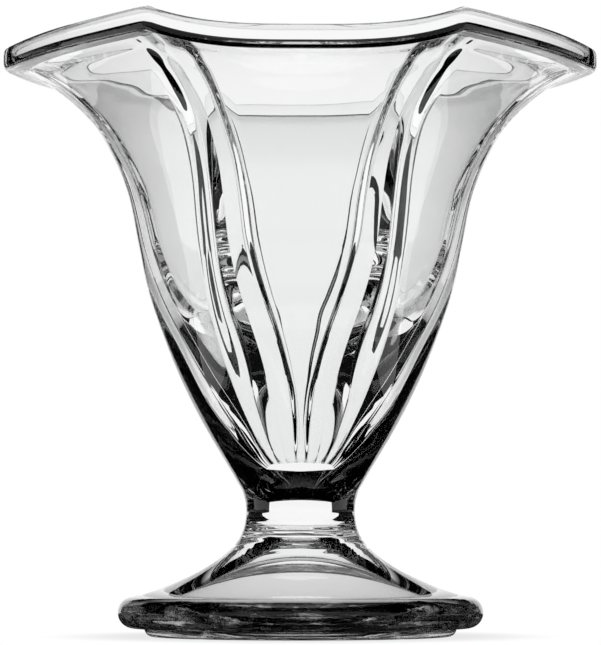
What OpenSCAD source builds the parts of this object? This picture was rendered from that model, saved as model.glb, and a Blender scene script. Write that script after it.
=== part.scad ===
// Parfait glass of clear pressed glass: a flared six-sided bowl, a short waisted stem
// and a round foot with a hollow underside. The front faces -Y and the foot rests on z = 0.

/* [Rim] */
// Height of the glass at the corners of the rim
glass_h = 131; // [122:0.5:145]
// Width of the rim over two opposite corners
rim_w = 133; // [120:1:145]
// Thickness of the lip
lip_t = 4.2; // [3.4:0.1:5]
// Height of the lip's upright band
lip_h = 5.2; // [4:0.1:6]
// Drop of the rim's front and back edges between their corners
front_dip = 4.5; // [0:0.1:7]
// Drop of the rim's four side edges between their corners
side_dip = 0.6; // [0:0.1:5]

/* [Bowl] */
// Height of the flat floor of the bowl's hollow
floor_z = 40.4; // [38:0.1:43]
// Width of the floor over two opposite corners
floor_w = 10.8; // [8:0.1:13]
// Height of the ribs that stand on the inside, between its six pointed panels
rib_depth = 2.6; // [1:0.1:3.6]

/* [Stem] */
// Height of the seam between the bowl and the stem
stem_top_z = 32.4; // [30:0.1:34]
// Height of the seam between the stem and the foot
stem_bottom_z = 22.5; // [21.5:0.1:25]
// Height of the narrowest place of the stem
waist_z = 27.6; // [26:0.1:29]
// Diameter of the stem at its narrowest place
waist_d = 24.1; // [20:0.1:28]
// Radius of the curve that draws the stem in
waist_curve_r = 13; // [9:0.5:20]

/* [Foot] */
// Diameter of the foot
foot_d = 80.8; // [74:0.1:90]
// Thickness of the foot's rounded edge
edge_t = 6.9; // [6:0.1:8]
// Height of the middle of the foot's rounded edge
edge_z = 5.3; // [4.6:0.1:6]
// Slope of the foot's top where it meets the edge, in degrees
foot_slope = 8; // [4:1:20]
// Outer diameter of the ring that the foot rests on
rest_d = 69; // [62:0.5:70]
// Diameter of the hollow where it opens in the underside
hollow_d = 54; // [44:0.5:58]
// Diameter of the hollow's flat top
hollow_top_d = 9.6; // [6:0.1:12]
// Height of the hollow's flat top
hollow_h = 19.7; // [16:0.1:20]

/* [Hidden] */

$fn = 96;
sides = 6;
half_side = 180 / sides;
rim_r = rim_w / 2;
lip_r = lip_t / 2;
foot_r = foot_d / 2;
edge_r = edge_t / 2;
waist_r = waist_d / 2;
floor_r = floor_w / 2;
glass_tint = [0.86, 0.88, 0.88, 0.55];

// Radius of the drawn-in stem at a height. The bowl and the foot meet the stem on this curve
function stem_r(z) = waist_r + waist_curve_r - sqrt(pow(waist_curve_r, 2) - pow(z - waist_z, 2));
seam_top_r = stem_r(stem_top_z);
seam_bottom_r = stem_r(stem_bottom_z);

// Smooth curve through the rows of a table. Whole numbers of t are the rows
function row(tab, i) = tab[max(0, min(len(tab) - 1, i))];
function through(a, b, c, d, f) =
    b + f / 2 * (c - a + f * (2 * a - 5 * b + 4 * c - d + f * (3 * (b - c) + d - a)));
function spline(tab, t) =
    let (i = min(floor(t), len(tab) - 2))
    through(row(tab, i - 1), row(tab, i), row(tab, i + 1), row(tab, i + 2), t - i);

// Six-sided outline with rounded corners, at an angle from the middle of a side. It is 1 at
// the corners. A sharpness of 2 gives a circle, and a high one gives sharp corners
function corner_sum(a, sharp) =
    pow(cos(a), sharp)
    + pow(max(0, cos(2 * half_side - a)), sharp)
    + pow(max(0, cos(2 * half_side + a)), sharp);
function six_sided(a, sharp) = pow(corner_sum(half_side, sharp) / corner_sum(a, sharp), 1 / sharp);

// Rise from 0 to 1 with soft ends
function ease(u) = let (v = max(0, min(1, u))) v * v * (3 - 2 * v);

// The dip of the rim starts above this share of the bowl's height, and is flat in the
// middle of an edge and steep beside its corners
dip_start_share = 0.7;
dip_grow = 1.5;
dip_power = 3;
function dip_share(z) =
    let (start = stem_top_z + dip_start_share * (glass_h - stem_top_z))
    pow(max(0, min(1, (z - start) / (glass_h - start))), dip_grow);
function edge_dip(side) = side % 3 == 0 ? front_dip : side_dip;
function dip(a, side) = edge_dip(side) * (1 - pow(a / half_side, dip_power));

// Outside of the bowl from the stem to the lip, one row for each height. The columns are
// height, reach at a corner, sharpness of the corners, and flatness of the sides
outside_shares = [
    [0.000, 0.000, 10, 0.00],
    [0.042, 0.045, 10, 0.00],
    [0.088, 0.097, 10, 0.00],
    [0.129, 0.142, 10, 0.05],
    [0.206, 0.217, 11, 0.30],
    [0.297, 0.292, 12, 0.65],
    [0.434, 0.383, 14, 0.82],
    [0.549, 0.430, 14, 0.78],
    [0.662, 0.473, 16, 0.64],
    [0.749, 0.535, 18, 0.58],
    [0.823, 0.615, 20, 0.54],
    [0.891, 0.742, 24, 0.52],
    [0.930, 0.854, 30, 0.50],
    [0.946, 0.922, 34, 0.50]
];

// Inside of the bowl from its floor to the lip, one row for each height. The columns are
// height, reach at the middle of a panel, flatness of the panel, its width as a share of the
// side, width of the slope from the panel up to the rib, and how far the rib stands out
inside_shares = [
    [0.000, 0.000, -0.30, 0.27, 0.36, 0.12],
    [0.011, 0.013, -0.30, 0.26, 0.36, 0.16],
    [0.026, 0.028, -0.30, 0.25, 0.35, 0.22],
    [0.046, 0.046, -0.30, 0.23, 0.33, 0.32],
    [0.088, 0.079, -0.10, 0.23, 0.30, 0.50],
    [0.150, 0.126, 0.20, 0.28, 0.24, 0.75],
    [0.216, 0.178, 0.50, 0.40, 0.21, 1.00],
    [0.294, 0.245, 0.75, 0.53, 0.19, 1.10],
    [0.360, 0.308, 0.80, 0.62, 0.18, 1.10],
    [0.426, 0.360, 0.80, 0.68, 0.17, 1.05],
    [0.503, 0.406, 0.72, 0.72, 0.17, 1.00],
    [0.592, 0.437, 0.67, 0.74, 0.16, 1.00],
    [0.680, 0.470, 0.61, 0.77, 0.14, 0.90],
    [0.746, 0.511, 0.57, 0.80, 0.13, 0.80],
    [0.807, 0.563, 0.54, 0.82, 0.12, 0.70],
    [0.851, 0.617, 0.52, 0.82, 0.12, 0.60],
    [0.887, 0.674, 0.50, 0.82, 0.12, 0.55],
    [0.915, 0.728, 0.50, 0.82, 0.12, 0.50],
    [0.934, 0.774, 0.50, 0.82, 0.12, 0.50],
    [0.948, 0.817, 0.50, 0.82, 0.12, 0.40],
    [0.958, 0.854, 0.50, 0.82, 0.12, 0.20]
];

// The lip is an upright band with rounded edges. It runs from under its outer side, over the
// top, to its inner side
lip_sharp = 3.2;
rim_sharp = 36;
rim_flatness_share = 0.5;
lip_from = -75;
lip_to = 200;

// Rings of points in each stretch, and points in each part of half a side
outside_rings = 23;
lip_rings = 11;
inside_rings = 24;
panel_points = 3;
edge_points = 2;
rib_points = 3;
half_points = panel_points + edge_points + rib_points;

// Angles from the middle of a side to its corner: across the panel, its edge and half a rib
function side_angles(panel_a, edge_a) = [
    for (i = [0 : panel_points - 1]) i / panel_points * (panel_a - edge_a / 2),
    for (i = [0 : edge_points - 1]) panel_a + (i / edge_points - 1 / 2) * edge_a,
    for (i = [0 : rib_points])
        panel_a + edge_a / 2 + i / rib_points * (half_side - panel_a - edge_a / 2)
];

// One ring of points around the bowl. Each point is given by its side, its angle from the
// middle of that side, and whether it lies left or right of it
function ring_places(angles) = [
    for (side = [0 : sides - 1])
        for (i = [-half_points : half_points - 1]) [side, angles[abs(i)], i < 0 ? -1 : 1]
];
function place(p, r, z) =
    let (a = p[2] * p[1] + p[0] * 2 * half_side)
    [r * sin(a), -r * cos(a), z];

even_angles = [for (i = [0 : half_points]) i / half_points * half_side];

function outside_ring(t) =
    let (
        s = spline(outside_shares, t),
        corner_r = seam_top_r + s[1] * (rim_r - seam_top_r),
        z = stem_top_z + s[0] * (glass_h - stem_top_z)
    )
    [
        for (p = ring_places(even_angles))
            place(p, corner_r * pow(six_sided(p[1], s[2]), s[3]), z - dip_share(z) * dip(p[1], p[0]))
    ];

// Pulls a sine or cosine outwards, which makes a box with rounded edges of the lip's circle
function boxed(v) = sign(v) * pow(abs(v), 2 / lip_sharp);
function lip_ring(a) = [
    for (p = ring_places(even_angles))
        let (middle_r = (rim_r - lip_r) * pow(six_sided(p[1], rim_sharp), rim_flatness_share))
        place(
            p,
            middle_r + lip_r * boxed(cos(a)),
            glass_h - lip_h / 2 + lip_h / 2 * boxed(sin(a)) - dip(p[1], p[0])
        )
];

function inside_ring(t) =
    let (
        s = spline(inside_shares, t),
        middle_r = floor_r + s[1] * (rim_r - floor_r),
        z = floor_z + s[0] * (glass_h - floor_z),
        panel_a = s[3] * half_side,
        edge_a = s[4] * half_side
    )
    [
        for (p = ring_places(side_angles(panel_a, edge_a)))
            let (
                panel_r = middle_r / pow(cos(p[1]), s[2]),
                rib = s[5] * rib_depth * ease((p[1] - panel_a) / edge_a + 1 / 2)
            )
            place(p, panel_r - rib, z - dip_share(z) * dip(p[1], p[0]))
    ];

module bowl() {
    rings = [
        for (i = [0 : outside_rings]) outside_ring(i / outside_rings * (len(outside_shares) - 1)),
        for (i = [0 : lip_rings]) lip_ring(lip_from + i / lip_rings * (lip_to - lip_from)),
        for (i = [inside_rings : -1 : 0])
            inside_ring(i / inside_rings * (len(inside_shares) - 1))
    ];
    around = len(rings[0]);
    up = len(rings);
    color(glass_tint)
        polyhedron(
            points = [for (ring = rings) each ring],
            faces = [
                [for (i = [0 : around - 1]) i],
                [for (i = [around - 1 : -1 : 0]) (up - 1) * around + i],
                for (j = [0 : up - 2])
                    for (i = [0 : around - 1])
                        let (
                            a = j * around + i,
                            b = j * around + (i + 1) % around
                        )
                        each [[a, a + around, b], [b, a + around, b + around]]
            ],
            convexity = 8
        );
}

// Points of the stem's drawn-in side from one seam to the other
stem_steps = 24;
module stem() {
    color(glass_tint)
        rotate_extrude()
            polygon([
                [0, stem_bottom_z],
                for (i = [0 : stem_steps])
                    let (z = stem_bottom_z + i / stem_steps * (stem_top_z - stem_bottom_z))
                    [stem_r(z), z],
                [0, stem_top_z]
            ]);
}

// The foot's top leaves the stem along the stem's own slope and meets the edge at foot_slope
edge_middle = [foot_r - edge_r, edge_z];
sweep_start = [seam_bottom_r, stem_bottom_z];
sweep_end = edge_middle + edge_r * [sin(foot_slope), cos(foot_slope)];
stem_slope = asin((waist_z - stem_bottom_z) / waist_curve_r);
sweep_share = 0.31;
flat_share = 0.2;
sweep_reach = sweep_end[0] - sweep_start[0];
sweep_pull = sweep_start + sweep_share * sweep_reach * [sin(stem_slope), -cos(stem_slope)];
flat_pull = sweep_end + flat_share * sweep_reach * [-cos(foot_slope), sin(foot_slope)];
function sweep(t) =
    pow(1 - t, 3) * sweep_start
    + 3 * pow(1 - t, 2) * t * sweep_pull
    + 3 * (1 - t) * pow(t, 2) * flat_pull
    + pow(t, 3) * sweep_end;

heel_r = edge_z - edge_r;
sweep_steps = 24;
edge_steps = 20;
heel_steps = 5;
module foot() {
    color(glass_tint)
        rotate_extrude()
            polygon([
                [0, stem_bottom_z],
                for (i = [0 : sweep_steps]) sweep(i / sweep_steps),
                for (i = [1 : edge_steps])
                    let (a = 90 - foot_slope - i / edge_steps * (180 - foot_slope))
                    edge_middle + edge_r * [cos(a), sin(a)],
                for (i = [0 : heel_steps])
                    let (a = -i / heel_steps * 90)
                    [rest_d / 2 - heel_r + heel_r * cos(a), heel_r + heel_r * sin(a)],
                [hollow_d / 2, 0],
                [hollow_top_d / 2, hollow_h],
                [0, hollow_h]
            ]);
}

bowl();
stem();
foot();
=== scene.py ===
import math

import bmesh
import bpy
import numpy as np
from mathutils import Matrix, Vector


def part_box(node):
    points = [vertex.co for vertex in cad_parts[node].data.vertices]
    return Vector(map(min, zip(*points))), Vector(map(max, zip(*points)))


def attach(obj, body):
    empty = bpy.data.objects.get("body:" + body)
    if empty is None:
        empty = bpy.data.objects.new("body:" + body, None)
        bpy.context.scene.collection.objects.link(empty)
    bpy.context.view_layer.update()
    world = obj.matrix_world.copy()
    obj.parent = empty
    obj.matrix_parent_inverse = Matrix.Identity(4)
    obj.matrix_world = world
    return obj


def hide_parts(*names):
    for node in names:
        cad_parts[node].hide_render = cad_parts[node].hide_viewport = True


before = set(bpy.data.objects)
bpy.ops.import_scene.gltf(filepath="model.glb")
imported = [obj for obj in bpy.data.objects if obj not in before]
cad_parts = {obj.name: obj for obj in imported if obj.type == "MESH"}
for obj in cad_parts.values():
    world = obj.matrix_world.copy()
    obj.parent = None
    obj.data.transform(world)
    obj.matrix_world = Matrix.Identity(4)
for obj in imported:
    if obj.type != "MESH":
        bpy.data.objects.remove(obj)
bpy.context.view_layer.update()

# Camera: it stands in front of the glass, a little to the left, low down beside the foot,
# and looks slightly up, so that the underside of the flared rim shows.
camera_distance = 0.6973
camera_height = 0.0192
camera_turn = math.radians(-1.0)
camera_tilt = math.radians(4.133)

camera_data = bpy.data.cameras.new("studio_camera")
camera_data.lens = 175.15
camera_data.sensor_width = 36
camera = bpy.data.objects.new("studio_camera", camera_data)
camera.location = (
    camera_distance * math.sin(camera_turn),
    -camera_distance * math.cos(camera_turn),
    camera_height,
)
camera.rotation_euler = (math.pi / 2 + camera_tilt, 0, camera_turn)
bpy.context.scene.collection.objects.link(camera)
bpy.context.scene.camera = camera


# Bowl: clear soda-lime glass, six-sided and flared, smooth outside. The plunger of the press
# leaves ribs inside it, between six pointed panels that run down to a small six-sided floor.
# The mouth is opened out while hot, so the banded lip dips between its corners.
bowl_low, bowl_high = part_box("bowl")
seam_z = bowl_low[2]
glass_h = bowl_high[2]
rim_r = bowl_high[0]
lip_r = 0.0021
lip_h = 0.0052
lip_sharp = 3.2
lip_corner_sharp = 36
lip_flat = 0.5
floor_z = 0.0404
floor_r = 0.0054
rib_depth = 0.0026
crease = math.radians(25)

# Dips of the rim at the middles of its sides. They start at a share of the bowl's height, grow
# up to the rim, and fade out to the corners
front_dip = 0.0045
side_dip = 0.0006
dip_from = 0.7
dip_rise = 1.5
dip_flat = 3

# The bowl starts at the stem's drawn-in side
waist_z = 0.0276
waist_r = 0.01205
waist_curve_r = 0.013


def stem_r(z):
    return waist_r + waist_curve_r - np.sqrt(waist_curve_r**2 - (z - waist_z) ** 2)


seam_r = stem_r(seam_z)
half_side = math.pi / 6


def spline(table, t):
    """A smooth curve through the rows of a table. Whole numbers of t are the rows."""
    i = min(int(t), len(table) - 2)
    f = t - i
    a, b, c, d = (np.array(table[max(0, min(len(table) - 1, i + k))]) for k in (-1, 0, 1, 2))
    return b + f / 2 * (c - a + f * (2 * a - 5 * b + 4 * c - d + f * (3 * (b - c) + d - a)))


def corner_sum(a, sharp):
    turned = (a, 2 * half_side - a, 2 * half_side + a)
    return sum(np.maximum(np.cos(x), 0) ** sharp for x in turned)


def six_sided(a, sharp):
    """Six-sided outline with rounded corners, at an angle from a side's middle. 1 at a corner."""
    return (corner_sum(half_side, sharp) / corner_sum(a, sharp)) ** (1 / sharp)


def ease(u):
    v = np.clip(u, 0, 1)
    return v * v * (3 - 2 * v)


# Outside, from the stem to the lip: height, reach at a corner, sharpness of the corners,
# and flatness of the sides
outside_shares = [
    [0.000, 0.000, 10, 0.00],
    [0.042, 0.045, 10, 0.00],
    [0.088, 0.097, 10, 0.00],
    [0.129, 0.142, 10, 0.05],
    [0.206, 0.217, 11, 0.30],
    [0.297, 0.292, 12, 0.65],
    [0.434, 0.383, 14, 0.82],
    [0.549, 0.430, 14, 0.78],
    [0.662, 0.473, 16, 0.64],
    [0.749, 0.535, 18, 0.58],
    [0.823, 0.615, 20, 0.54],
    [0.891, 0.742, 24, 0.52],
    [0.930, 0.854, 30, 0.50],
    [0.946, 0.922, 34, 0.50],
]

# Inside, from the floor to the lip: height, reach at the middle of a panel, flatness of the
# panel, its width, width of the slope up to the rib, and how far the rib stands out
inside_shares = [
    [0.000, 0.000, -0.30, 0.27, 0.36, 0.12],
    [0.011, 0.013, -0.30, 0.26, 0.36, 0.16],
    [0.026, 0.028, -0.30, 0.25, 0.35, 0.22],
    [0.046, 0.046, -0.30, 0.23, 0.33, 0.32],
    [0.088, 0.079, -0.10, 0.23, 0.30, 0.50],
    [0.150, 0.126, 0.20, 0.28, 0.24, 0.75],
    [0.216, 0.178, 0.50, 0.40, 0.21, 1.00],
    [0.294, 0.245, 0.75, 0.53, 0.19, 1.10],
    [0.360, 0.308, 0.80, 0.62, 0.18, 1.10],
    [0.426, 0.360, 0.80, 0.68, 0.17, 1.05],
    [0.503, 0.406, 0.72, 0.72, 0.17, 1.00],
    [0.592, 0.437, 0.67, 0.74, 0.16, 1.00],
    [0.680, 0.470, 0.61, 0.77, 0.14, 0.90],
    [0.746, 0.511, 0.57, 0.80, 0.13, 0.80],
    [0.807, 0.563, 0.54, 0.82, 0.12, 0.70],
    [0.851, 0.617, 0.52, 0.82, 0.12, 0.60],
    [0.887, 0.674, 0.50, 0.82, 0.12, 0.55],
    [0.915, 0.728, 0.50, 0.82, 0.12, 0.50],
    [0.934, 0.774, 0.50, 0.82, 0.12, 0.50],
    [0.948, 0.817, 0.50, 0.82, 0.12, 0.40],
    [0.958, 0.854, 0.50, 0.82, 0.12, 0.20],
]

# Points around, in each half side: across half a panel, up its slope and over half a rib
panel_points, slope_points, rib_points = 8, 8, 10
half_points = panel_points + slope_points + rib_points
side_of = np.repeat(np.arange(6), 2 * half_points)
step_of = np.tile(np.arange(-half_points, half_points), 6)
even_angles = np.linspace(0, half_side, half_points + 1)

# Rings of points: up the outside, over the lip, and down the inside
outside_rings, lip_rings, inside_rings = 130, 60, 90
lip_from, lip_to = math.radians(-75), math.radians(200)


def bowl_ring(angles, radius, z, dipped):
    """One ring of points. radius is a function of the angle from a side's middle. Every
    third side is the front or the back."""
    a = angles[np.abs(step_of)]
    turn = np.sign(step_of) * a + side_of * 2 * half_side
    dip = np.where(side_of % 3 == 0, front_dip, side_dip)
    drop = dip * (1 - (a / half_side) ** dip_flat)
    r = radius(a)
    return np.stack([r * np.sin(turn), -r * np.cos(turn), z - dipped * drop], 1)


def dip_share(z):
    start = seam_z + dip_from * (glass_h - seam_z)
    return np.clip((z - start) / (glass_h - start), 0, 1) ** dip_rise


def outside_ring(t):
    height, reach, sharp, flat = spline(outside_shares, t)
    corner_r = seam_r + reach * (rim_r - seam_r)
    z = seam_z + height * (glass_h - seam_z)
    return bowl_ring(
        even_angles, lambda a: corner_r * six_sided(a, sharp) ** flat, z, dip_share(z)
    )


def boxed(v):
    return math.copysign(abs(v) ** (2 / lip_sharp), v)


def lip_ring(turn):
    out = lip_r * boxed(math.cos(turn))
    z = glass_h - lip_h / 2 + lip_h / 2 * boxed(math.sin(turn))
    return bowl_ring(
        even_angles,
        lambda a: (rim_r - lip_r) * six_sided(a, lip_corner_sharp) ** lip_flat + out,
        z,
        1,
    )


def inside_ring(t):
    height, reach, flat, width, slope, stand = spline(inside_shares, t)
    middle_r = floor_r + reach * (rim_r - floor_r)
    z = floor_z + height * (glass_h - floor_z)
    panel_a, slope_a = width * half_side, slope * half_side
    angles = np.concatenate([
        np.linspace(0, panel_a - slope_a / 2, panel_points, endpoint=False),
        np.linspace(panel_a - slope_a / 2, panel_a + slope_a / 2, slope_points, endpoint=False),
        np.linspace(panel_a + slope_a / 2, half_side, rib_points + 1),
    ])
    return bowl_ring(
        angles,
        lambda a: middle_r / np.cos(a) ** flat
        - stand * rib_depth * ease((a - panel_a) / slope_a + 0.5),
        z,
        dip_share(z),
    )


# Fused seams have no face of their own in the glass, so the pieces' joined ends don't show
seam = bpy.data.materials.new("fused_seam")
seam.use_nodes = True
seam.node_tree.nodes["Principled BSDF"].inputs["Alpha"].default_value = 0


def closed_body(name, rings, glass, fused):
    """A closed mesh through the rings. fused says which of the two ends is a seam."""
    around = len(rings[0])
    points = [tuple(p) for ring in rings for p in ring]
    faces = [
        (j * around + i, j * around + (i + 1) % around,
         (j + 1) * around + (i + 1) % around, (j + 1) * around + i)
        for j in range(len(rings) - 1)
        for i in range(around)
    ]
    seam_faces = set()
    for end, row in enumerate((0, len(rings) - 1)):
        points.append(tuple(rings[row].mean(0) * (0, 0, 1)))
        for i in range(around):
            if fused[end]:
                seam_faces.add(len(faces))
            a, b = row * around + i, row * around + (i + 1) % around
            faces.append((len(points) - 1, b, a) if end == 0 else (len(points) - 1, a, b))
    mesh = bpy.data.meshes.new(name)
    mesh.from_pydata(points, [], faces)
    mesh.materials.append(glass)
    mesh.materials.append(seam)
    for polygon in mesh.polygons:
        polygon.material_index = 1 if polygon.index in seam_faces else 0
    mesh.shade_smooth()
    built = bmesh.new()
    built.from_mesh(mesh)
    built.normal_update()
    bmesh.ops.recalc_face_normals(built, faces=built.faces)
    for edge in built.edges:
        edge.smooth = edge.calc_face_angle() < crease
    built.to_mesh(mesh)
    built.free()
    piece = bpy.data.objects.new(name, mesh)
    bpy.context.scene.collection.objects.link(piece)
    return piece


# Pressed glass: faint waves from the cooling mould, and a very faint change of tint
pressed = bpy.data.node_groups.new("pressed_glass", "ShaderNodeTree")
pressed.interface.new_socket("Wave Scale", in_out="INPUT", socket_type="NodeSocketFloat")
pressed.interface.new_socket("Clear", in_out="INPUT", socket_type="NodeSocketColor")
pressed.interface.new_socket("Tinted", in_out="INPUT", socket_type="NodeSocketColor")
pressed.interface.new_socket("Color", in_out="OUTPUT", socket_type="NodeSocketColor")
pressed.interface.new_socket("Height", in_out="OUTPUT", socket_type="NodeSocketFloat")
nodes, links = pressed.nodes, pressed.links
given = nodes.new("NodeGroupInput")
put_out = nodes.new("NodeGroupOutput")
place = nodes.new("ShaderNodeTexCoord")
wave = nodes.new("ShaderNodeTexNoise")
wave.inputs["Detail"].default_value = 1
links.new(place.outputs["Object"], wave.inputs["Vector"])
links.new(given.outputs["Wave Scale"], wave.inputs["Scale"])
tint = nodes.new("ShaderNodeMix")
tint.data_type = "RGBA"
links.new(wave.outputs["Fac"], tint.inputs["Factor"])
links.new(given.outputs["Clear"], tint.inputs["A"])
links.new(given.outputs["Tinted"], tint.inputs["B"])
links.new(tint.outputs["Result"], put_out.inputs["Color"])

# Chill marks: wavy lines around the foot of the stem, where cooler glass folded into the mould
parts = nodes.new("ShaderNodeSeparateXYZ")
links.new(place.outputs["Object"], parts.inputs["Vector"])
folds = nodes.new("ShaderNodeTexWave")
folds.bands_direction = "Z"
folds.inputs["Scale"].default_value = 230
folds.inputs["Distortion"].default_value = 4
folds.inputs["Detail"].default_value = 1
folds.inputs["Detail Scale"].default_value = 0.5
links.new(place.outputs["Object"], folds.inputs["Vector"])
above = nodes.new("ShaderNodeMapRange")
above.inputs["From Min"].default_value = 0.0175
above.inputs["From Max"].default_value = 0.0195
above.inputs["To Max"].default_value = 2
links.new(parts.outputs["Z"], above.inputs["Value"])
below = nodes.new("ShaderNodeMapRange")
below.inputs["From Min"].default_value = 0.0240
below.inputs["From Max"].default_value = 0.0225
links.new(parts.outputs["Z"], below.inputs["Value"])
at_folds = nodes.new("ShaderNodeMath")
at_folds.operation = "MULTIPLY"
links.new(above.outputs["Result"], at_folds.inputs[0])
links.new(below.outputs["Result"], at_folds.inputs[1])
all_waves = nodes.new("ShaderNodeMath")
all_waves.operation = "MULTIPLY_ADD"
links.new(folds.outputs["Fac"], all_waves.inputs[0])
links.new(at_folds.outputs["Value"], all_waves.inputs[1])
links.new(wave.outputs["Fac"], all_waves.inputs[2])
links.new(all_waves.outputs["Value"], put_out.inputs["Height"])


def clear_glass(name, wave_scale):
    """Clear soda-lime glass with waves. Gives the material, its shader, waves and relief."""
    glass = bpy.data.materials.new(name)
    glass.use_nodes = True
    nodes, links = glass.node_tree.nodes, glass.node_tree.links
    shader = nodes["Principled BSDF"]
    shader.inputs["Roughness"].default_value = 0
    shader.inputs["IOR"].default_value = 1.52
    shader.inputs["Transmission Weight"].default_value = 1
    waves = nodes.new("ShaderNodeGroup")
    waves.node_tree = pressed
    waves.inputs["Wave Scale"].default_value = wave_scale
    waves.inputs["Clear"].default_value = (0.988, 0.991, 0.99, 1)
    waves.inputs["Tinted"].default_value = (0.975, 0.981, 0.978, 1)
    relief = nodes.new("ShaderNodeBump")
    relief.inputs["Strength"].default_value = 1
    relief.inputs["Distance"].default_value = 0.00003
    links.new(waves.outputs["Color"], shader.inputs["Base Color"])
    links.new(waves.outputs["Height"], relief.inputs["Height"])
    links.new(relief.outputs["Normal"], shader.inputs["Normal"])
    return glass, shader, waves, relief


bowl_glass = clear_glass("bowl_glass", 60)[0]

rings = [outside_ring(t) for t in np.linspace(0, len(outside_shares) - 1, outside_rings)]
rings += [lip_ring(turn) for turn in np.linspace(lip_from, lip_to, lip_rings)]
rings += [inside_ring(t) for t in np.linspace(len(inside_shares) - 1, 0, inside_rings)]
bowl = closed_body("pressed_bowl", rings, bowl_glass, (True, False))
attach(bowl, "root")
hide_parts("bowl")


# Stem: a short solid post of the same glass, drawn in at its middle by the mould. It is
# stuck to the bowl and the foot while hot, and both seams are fused.
stem_low, stem_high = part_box("stem")
round_points = 192
stem_rings = 40
turns = np.linspace(0, 2 * math.pi, round_points, endpoint=False)


def round_ring(r, z):
    return np.stack([r * np.sin(turns), -r * np.cos(turns), z + 0 * turns], 1)


stem_glass = clear_glass("stem_glass", 90)[0]

rings = [round_ring(stem_r(z), z) for z in np.linspace(stem_low[2], stem_high[2], stem_rings)]
stem = closed_body("waisted_stem", rings, stem_glass, (True, True))
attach(stem, "root")
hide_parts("stem")


# Foot: a round pressed foot of the same glass with a rounded, mottled edge. A cone-shaped
# hollow is pressed into its underside, and it stands on the flat ring around that hollow.
foot_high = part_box("foot")[1]
foot_r = foot_high[0]
edge_r = 0.00345
edge_z = 0.0053
foot_slope = math.radians(8)
rest_r = 0.0345
hollow_r = 0.027
hollow_top_r = 0.0048
hollow_h = 0.0197
heel_r = edge_z - edge_r

# The top sweeps out from the stem to the edge. Each pull is how far the curve follows its
# first or last direction, as a share of its reach
steep_pull_share = 0.31
flat_pull_share = 0.2
sweep_points, edge_points, heel_points, rest_points, hollow_points = 60, 40, 12, 5, 30
edge_middle = np.array([foot_r - edge_r, edge_z])
sweep_start = np.array([stem_r(foot_high[2]), foot_high[2]])
sweep_end = edge_middle + edge_r * np.array([math.sin(foot_slope), math.cos(foot_slope)])
stem_slope = math.asin((waist_z - foot_high[2]) / waist_curve_r)
sweep_reach = sweep_end[0] - sweep_start[0]
steep_way = np.array([math.sin(stem_slope), -math.cos(stem_slope)])
flat_way = np.array([-math.cos(foot_slope), math.sin(foot_slope)])
steep_pull = sweep_start + steep_pull_share * sweep_reach * steep_way
flat_pull = sweep_end + flat_pull_share * sweep_reach * flat_way

outline = [
    (1 - t) ** 3 * sweep_start + 3 * (1 - t) ** 2 * t * steep_pull
    + 3 * (1 - t) * t**2 * flat_pull + t**3 * sweep_end
    for t in np.linspace(0, 1, sweep_points)
]
outline += [
    edge_middle + edge_r * np.array([math.cos(a), math.sin(a)])
    for a in np.linspace(math.pi / 2 - foot_slope, -math.pi / 2, edge_points)[1:]
]
outline += [
    np.array([rest_r - heel_r + heel_r * math.cos(a), heel_r + heel_r * math.sin(a)])
    for a in np.linspace(0, -math.pi / 2, heel_points)
]
outline += [
    np.array([rest_r - heel_r + share * (hollow_r - rest_r + heel_r), 0])
    for share in np.linspace(0, 1, rest_points)[1:]
]
outline += [
    np.array([hollow_r + share * (hollow_top_r - hollow_r), share * hollow_h])
    for share in np.linspace(0, 1, hollow_points)[1:]
]

foot_glass, shader, waves, relief = clear_glass("foot_glass", 90)
nodes, links = foot_glass.node_tree.nodes, foot_glass.node_tree.links

# The rolled edge has an orange-peel relief, where the hot glass touched the cooler mould.
# Its colour is painted nearly black as painted shade, with grey streaks of painted highlight
# around it
place = nodes.new("ShaderNodeTexCoord")
parts = nodes.new("ShaderNodeSeparateXYZ")
links.new(place.outputs["Object"], parts.inputs["Vector"])
flat_place = nodes.new("ShaderNodeVectorMath")
flat_place.operation = "MULTIPLY"
flat_place.inputs[1].default_value = (1, 1, 0)
links.new(place.outputs["Object"], flat_place.inputs[0])
from_axis = nodes.new("ShaderNodeVectorMath")
from_axis.operation = "LENGTH"
links.new(flat_place.outputs["Vector"], from_axis.inputs[0])
outer = nodes.new("ShaderNodeMapRange")
outer.inputs["From Min"].default_value = 0.0335
outer.inputs["From Max"].default_value = 0.0345
links.new(from_axis.outputs["Value"], outer.inputs["Value"])
low_edge = nodes.new("ShaderNodeMapRange")
low_edge.inputs["From Min"].default_value = 0.0090
low_edge.inputs["From Max"].default_value = 0.0080
links.new(parts.outputs["Z"], low_edge.inputs["Value"])
on_edge = nodes.new("ShaderNodeMath")
on_edge.operation = "MULTIPLY"
links.new(outer.outputs["Result"], on_edge.inputs[0])
links.new(low_edge.outputs["Result"], on_edge.inputs[1])
peel = nodes.new("ShaderNodeTexNoise")
peel.inputs["Scale"].default_value = 420
peel.inputs["Detail"].default_value = 5
links.new(place.outputs["Object"], peel.inputs["Vector"])
peel_height = nodes.new("ShaderNodeMath")
peel_height.operation = "MULTIPLY"
links.new(peel.outputs["Fac"], peel_height.inputs[0])
links.new(on_edge.outputs["Value"], peel_height.inputs[1])
peel_relief = nodes.new("ShaderNodeBump")
peel_relief.inputs["Strength"].default_value = 1
peel_relief.inputs["Distance"].default_value = 0.0001
links.new(peel_height.outputs["Value"], peel_relief.inputs["Height"])
links.new(relief.outputs["Normal"], peel_relief.inputs["Normal"])
links.new(peel_relief.outputs["Normal"], shader.inputs["Normal"])
# Painted highlights: grey streaks over the painted shade of the nearly black edge
painted_highlight_streaks = nodes.new("ShaderNodeTexNoise")
painted_highlight_streaks.inputs["Scale"].default_value = 120
painted_highlight_streaks.inputs["Detail"].default_value = 8
painted_highlight_streaks.inputs["Roughness"].default_value = 0.75
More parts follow.
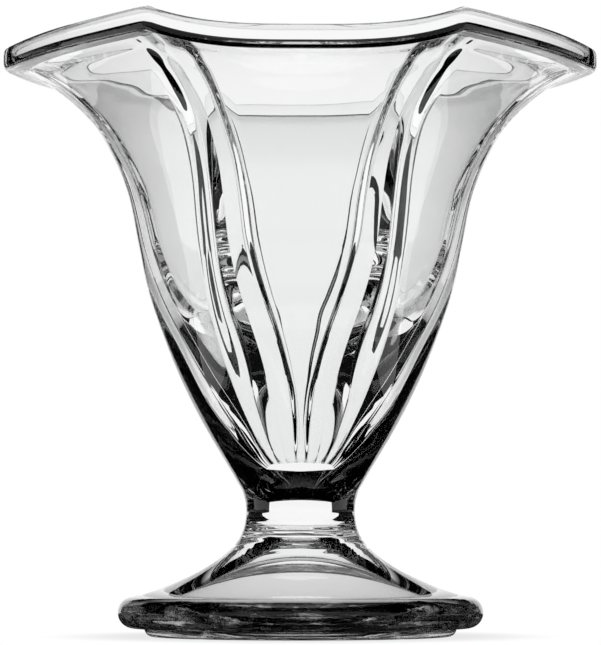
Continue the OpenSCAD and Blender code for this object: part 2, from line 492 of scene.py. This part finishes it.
flattened = nodes.new("ShaderNodeMapping")
flattened.inputs["Scale"].default_value = (1, 1, 3)
links.new(place.outputs["Object"], flattened.inputs["Vector"])
links.new(flattened.outputs["Vector"], painted_highlight_streaks.inputs["Vector"])
painted_highlight_grey = nodes.new("ShaderNodeMapRange")
painted_highlight_grey.inputs["From Min"].default_value = 0.50
painted_highlight_grey.inputs["From Max"].default_value = 0.70
painted_highlight_grey.inputs["To Min"].default_value = 0.006
painted_highlight_grey.inputs["To Max"].default_value = 0.35
links.new(painted_highlight_streaks.outputs["Fac"], painted_highlight_grey.inputs["Value"])
painted_edge_shade_and_highlights = nodes.new("ShaderNodeMix")
painted_edge_shade_and_highlights.data_type = "RGBA"
links.new(painted_highlight_grey.outputs["Result"], painted_edge_shade_and_highlights.inputs["B"])
links.new(on_edge.outputs["Value"], painted_edge_shade_and_highlights.inputs["Factor"])
links.new(waves.outputs["Color"], painted_edge_shade_and_highlights.inputs["A"])
links.new(painted_edge_shade_and_highlights.outputs["Result"], shader.inputs["Base Color"])

# The resting ring is slightly matt from being set down
wear = nodes.new("ShaderNodeMapRange")
wear.inputs["From Min"].default_value = 0.0003
wear.inputs["From Max"].default_value = 0.0001
wear.inputs["To Min"].default_value = 0
wear.inputs["To Max"].default_value = 0.12
links.new(parts.outputs["Z"], wear.inputs["Value"])
links.new(wear.outputs["Result"], shader.inputs["Roughness"])

rings = [round_ring(r, z) for r, z in outline]
foot = closed_body("hollow_foot", rings, foot_glass, (True, False))
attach(foot, "root")
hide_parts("foot")


# Table: a plain white studio table, with a soft painted shadow around the foot. The camera sees
# it white. The glass sees a painted pool of light glowing under its own hollow foot, and painted
# shade, nearly black, around it.
table_half = 4
table_mesh = bpy.data.meshes.new("studio_table")
table_mesh.from_pydata(
    [(x * table_half, y * table_half, 0) for x, y in ((-1, -1), (1, -1), (1, 1), (-1, 1))],
    [], [(0, 1, 2, 3)],
)
table = bpy.data.objects.new("studio_table", table_mesh)
bpy.context.scene.collection.objects.link(table)
table_surface = bpy.data.materials.new("studio_table")
table_surface.use_nodes = True
nodes, links = table_surface.node_tree.nodes, table_surface.node_tree.links
nodes.clear()
surface = nodes.new("ShaderNodeOutputMaterial")
place = nodes.new("ShaderNodeTexCoord")
distance = nodes.new("ShaderNodeVectorMath")
distance.operation = "LENGTH"
links.new(place.outputs["Object"], distance.inputs[0])
# Painted pool of light under the hollow foot, and painted shade around it, seen by the glass
lit = nodes.new("ShaderNodeMapRange")
lit.inputs["From Min"].default_value = 0.026
lit.inputs["From Max"].default_value = 0.031
lit.inputs["To Min"].default_value = 0.8
lit.inputs["To Max"].default_value = 0.004
links.new(distance.outputs["Value"], lit.inputs["Value"])
painted_glow_and_shade = nodes.new("ShaderNodeEmission")
links.new(lit.outputs["Result"], painted_glow_and_shade.inputs["Strength"])
# Painted shadow around the foot, seen by the camera
shadow = nodes.new("ShaderNodeMapRange")
shadow.interpolation_type = "SMOOTHSTEP"
shadow.inputs["From Min"].default_value = 0.034
shadow.inputs["From Max"].default_value = 0.060
shadow.inputs["To Min"].default_value = 0.80
shadow.inputs["To Max"].default_value = 1.0
links.new(distance.outputs["Value"], shadow.inputs["Value"])
white = nodes.new("ShaderNodeEmission")
links.new(shadow.outputs["Result"], white.inputs["Strength"])
path = nodes.new("ShaderNodeLightPath")
seen = nodes.new("ShaderNodeMixShader")
links.new(path.outputs["Is Camera Ray"], seen.inputs["Fac"])
links.new(painted_glow_and_shade.outputs["Emission"], seen.inputs[1])
links.new(white.outputs["Emission"], seen.inputs[2])
links.new(seen.outputs["Shader"], surface.inputs["Surface"])
table_mesh.materials.append(table_surface)


# Bright card: the white card behind the glass that lights it through, with a lit strip of
# table before it, a patch of light on each side and a dim card in front. All stand on a
# turntable, so that the bright card stays opposite the camera.
turntable = bpy.data.objects.new("light_turntable", None)
bpy.context.scene.collection.objects.link(turntable)
follow = turntable.constraints.new("LOCKED_TRACK")
follow.target = camera
follow.track_axis = "TRACK_NEGATIVE_Y"
follow.lock_axis = "LOCK_Z"


def card_light(name, strength):
    surface = bpy.data.materials.new(name)
    surface.use_nodes = True
    nodes, links = surface.node_tree.nodes, surface.node_tree.links
    nodes.clear()
    light = nodes.new("ShaderNodeEmission")
    light.inputs["Strength"].default_value = strength
    links.new(light.outputs["Emission"], nodes.new("ShaderNodeOutputMaterial").inputs["Surface"])
    return surface


bright = card_light("bright_card", 1)
dim = card_light("dim_card", 0.4)
card_distance = 1.2
card_half_w = card_distance * math.tan(math.radians(25))
card_top = card_distance * math.tan(math.radians(18))
above_table = 0.0006
# The right edge of the lit strip, from the foot to the card. The right one of two patches of
# light that fall between the flags. The right edge of the dim floor, and the dim card
strip_side = [
    (0.030, 0.030), (0.035, 0.050), (0.040, 0.100),
    (0.115, 0.190), (0.270, 0.420), (card_half_w, card_distance),
]
patch_side = [(0.130, 0.055), (2.0, 0.9), (2.0, -1.0), (0.130, -0.060)]
front_side = [(0.4, -0.2), (1.6, -0.75)]
front_card_half_w, front_card_y, front_card_top = 1.6, -0.75, 0.4
for name, surface, corners in (
    ("bright_card", bright, [
        (-card_half_w, card_distance, 0), (card_half_w, card_distance, 0),
        (card_half_w, card_distance, card_top), (-card_half_w, card_distance, card_top),
    ]),
    ("lit_strip", bright, [(x, y, above_table) for x, y in strip_side]
        + [(-x, y, above_table) for x, y in reversed(strip_side)]),
    ("right_patch", bright, [(x, y, above_table) for x, y in patch_side]),
    ("left_patch", bright, [(-x, y, above_table) for x, y in patch_side]),
    ("dim_floor", dim, [(x, y, above_table) for x, y in front_side]
        + [(-x, y, above_table) for x, y in reversed(front_side)]),
    ("dim_card", dim, [
        (-front_card_half_w, front_card_y, 0), (front_card_half_w, front_card_y, 0),
        (front_card_half_w, front_card_y, front_card_top),
        (-front_card_half_w, front_card_y, front_card_top),
    ]),
):
    mesh = bpy.data.meshes.new(name)
    mesh.from_pydata(corners, [], [tuple(range(len(corners)))])
    mesh.materials.append(surface)
    card = bpy.data.objects.new(name, mesh)
    bpy.context.scene.collection.objects.link(card)
    card.parent = turntable
    card.visible_camera = False


# Room: a pale studio, white to the camera. It is dark to the glass, so that only the cards and
# the painted glow of the table light it through.
room = bpy.data.worlds.new("studio_room")
bpy.context.scene.world = room
room.use_nodes = True
nodes, links = room.node_tree.nodes, room.node_tree.links
nodes["Background"].inputs["Color"].default_value = (1, 1, 1, 1)
path = nodes.new("ShaderNodeLightPath")
links.new(path.outputs["Is Camera Ray"], nodes["Background"].inputs["Strength"])

# Thick glass needs many bounces
scene = bpy.context.scene
scene.cycles.max_bounces = 32
scene.cycles.glossy_bounces = 24
scene.cycles.transmission_bounces = 32
scene.cycles.transparent_max_bounces = 32
scene.view_settings.view_transform = "Standard"
